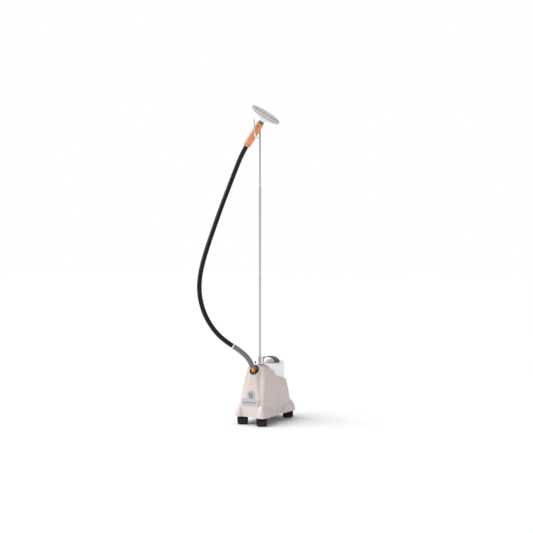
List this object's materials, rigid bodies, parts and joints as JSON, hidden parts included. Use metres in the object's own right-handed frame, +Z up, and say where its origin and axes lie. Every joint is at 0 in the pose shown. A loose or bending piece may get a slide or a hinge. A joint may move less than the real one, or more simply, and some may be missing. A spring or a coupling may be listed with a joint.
{
  "type": "upright steam cleaner",
  "caption": "Upright steam cleaner for clothes: wheeled boiler base with lift-out water bottle, pole with hook, and a wooden-handled oval steam head on a flexible hose.",
  "frame": {"origin": "on the floor under the axis of the pole", "axes": "+Z up along the pole, -Y towards the front with the hose outlet and badge, +X to the right seen from the front"},
  "size_m": [0.3293, 0.5069, 1.6363],
  "materials": {
    "housing": "satin moulded",
    "grey_plastic": "moulded",
    "white_plastic": "translucent moulded",
    "black_rubber": "matte",
    "strap": "smooth vinyl",
    "grey_sleeve": "satin",
    "light_ring": "satin",
    "black_plastic": "moulded",
    "wheel": "satin",
    "pole_metal": "satin drawn",
    "chrome": "bright",
    "steel": "plain",
    "cast_aluminium": "cast",
    "brass": "machined",
    "badge_silver": "satin",
    "badge_dark": "enamel",
    "wood": "varnished",
    "face_grey": "satin"
  },
  "bodies": {
    "base": {"badge_emblem": "badge_dark", "badge_plate": "badge_silver", "base_plate": "grey_plastic", "base_screws": "steel", "boiler_gasket": "black_rubber", "boiler_lid": "cast_aluminium", "boiler_tank": "cast_aluminium", "bottle_tray": "grey_plastic", "brass_elbow": "brass", "caster_sockets": "grey_plastic", "feed_tube": "brass", "heating_element": "steel", "hose_grommet": "black_rubber", "hose_sleeve": "grey_sleeve", "housing_shell": "housing", "mains_gland": "black_rubber", "outlet_nut": "brass", "pole_bush": "black_rubber", "pole_collar": "white_plastic", "pole_hook": "chrome", "pole_lower": "pole_metal", "pole_middle": "pole_metal", "pole_socket": "pole_metal", "pole_upper": "pole_metal", "sleeve_ring": "light_ring", "steam_hose": "black_rubber", "steam_pipe": "brass", "switch_body": "grey_plastic", "terminal_block": "grey_plastic", "thermostat": "steel"},
    "bottle": {"bottle_shell": "white_plastic", "strap_handle": "strap", "strap_anchors": "white_plastic"},
    "cap": {"bottle_cap": "white_plastic", "cap_seal": "black_rubber", "valve_spring": "steel"},
    "valve": {"valve_plunger": "steel"},
    "handpiece": {"wood_handle": "wood", "handle_screw": "steel", "steam_tube": "brass", "neck_washer": "steel", "neck_ring": "chrome", "head_shell": "white_plastic", "head_gasket": "black_rubber", "head_plate": "face_grey"},
    "toggle": {"toggle_lever": "chrome", "toggle_tip": "black_plastic"},
    "caster_fl": {"caster_fork_fl": "black_plastic"},
    "wheels_fl": {"caster_axle_fl": "steel", "caster_wheels_fl": "wheel"},
    "caster_fr": {"caster_fork_fr": "black_plastic"},
    "wheels_fr": {"caster_axle_fr": "steel", "caster_wheels_fr": "wheel"},
    "caster_rl": {"caster_fork_rl": "black_plastic"},
    "wheels_rl": {"caster_axle_rl": "steel", "caster_wheels_rl": "wheel"},
    "caster_rr": {"caster_fork_rr": "black_plastic"},
    "wheels_rr": {"caster_axle_rr": "steel", "caster_wheels_rr": "wheel"}
  },
  "joints": [
    {"name": "bottle_lift", "type": "slide", "parent": "base", "child": "bottle", "axis": [0, 0, 1], "range_m": [0, 0.16]},
    {"name": "cap_turn", "type": "hinge", "parent": "bottle", "child": "cap", "pos_m": [0, 0.11, 0.17], "axis": [0, 0, 1], "continuous": true},
    {"name": "valve_press", "type": "slide", "parent": "cap", "child": "valve", "axis": [0, 0, 1], "range_m": [0, 0.004], "stiffness_N_per_m": 300, "springref_m": -0.002, "deforming": ["valve_spring"]},
    {"name": "handpiece_lift", "type": "slide", "parent": "base", "child": "handpiece", "axis": [0, 0, 1], "range_m": [0, 0.12]},
    {"name": "switch_toggle", "type": "hinge", "parent": "base", "child": "toggle", "pos_m": [-0.0225, -0.004, 0.289], "axis": [-1, 0, 0], "range_deg": [0, 24]},
    {"name": "caster_swivel_fl", "type": "hinge", "parent": "base", "child": "caster_fl", "pos_m": [-0.058, -0.074, 0.045], "axis": [0, 0, 1], "continuous": true},
    {"name": "caster_roll_fl", "type": "hinge", "parent": "caster_fl", "child": "wheels_fl", "pos_m": [-0.05058, -0.08587, 0.02], "axis": [0.848, 0.5299, 0], "continuous": true},
    {"name": "caster_swivel_fr", "type": "hinge", "parent": "base", "child": "caster_fr", "pos_m": [0.058, -0.074, 0.045], "axis": [0, 0, 1], "continuous": true},
    {"name": "caster_roll_fr", "type": "hinge", "parent": "caster_fr", "child": "wheels_fr", "pos_m": [0.06542, -0.08587, 0.02], "axis": [0.848, 0.5299, 0], "continuous": true},
    {"name": "caster_swivel_rl", "type": "hinge", "parent": "base", "child": "caster_rl", "pos_m": [-0.058, 0.188, 0.045], "axis": [0, 0, 1], "continuous": true},
    {"name": "caster_roll_rl", "type": "hinge", "parent": "caster_rl", "child": "wheels_rl", "pos_m": [-0.05321, 0.20116, 0.02], "axis": [-0.9397, 0.342, 0], "continuous": true},
    {"name": "caster_swivel_rr", "type": "hinge", "parent": "base", "child": "caster_rr", "pos_m": [0.058, 0.188, 0.045], "axis": [0, 0, 1], "continuous": true},
    {"name": "caster_roll_rr", "type": "hinge", "parent": "caster_rr", "child": "wheels_rr", "pos_m": [0.05058, 0.19987, 0.02], "axis": [-0.848, -0.5299, 0], "continuous": true}
  ]
}
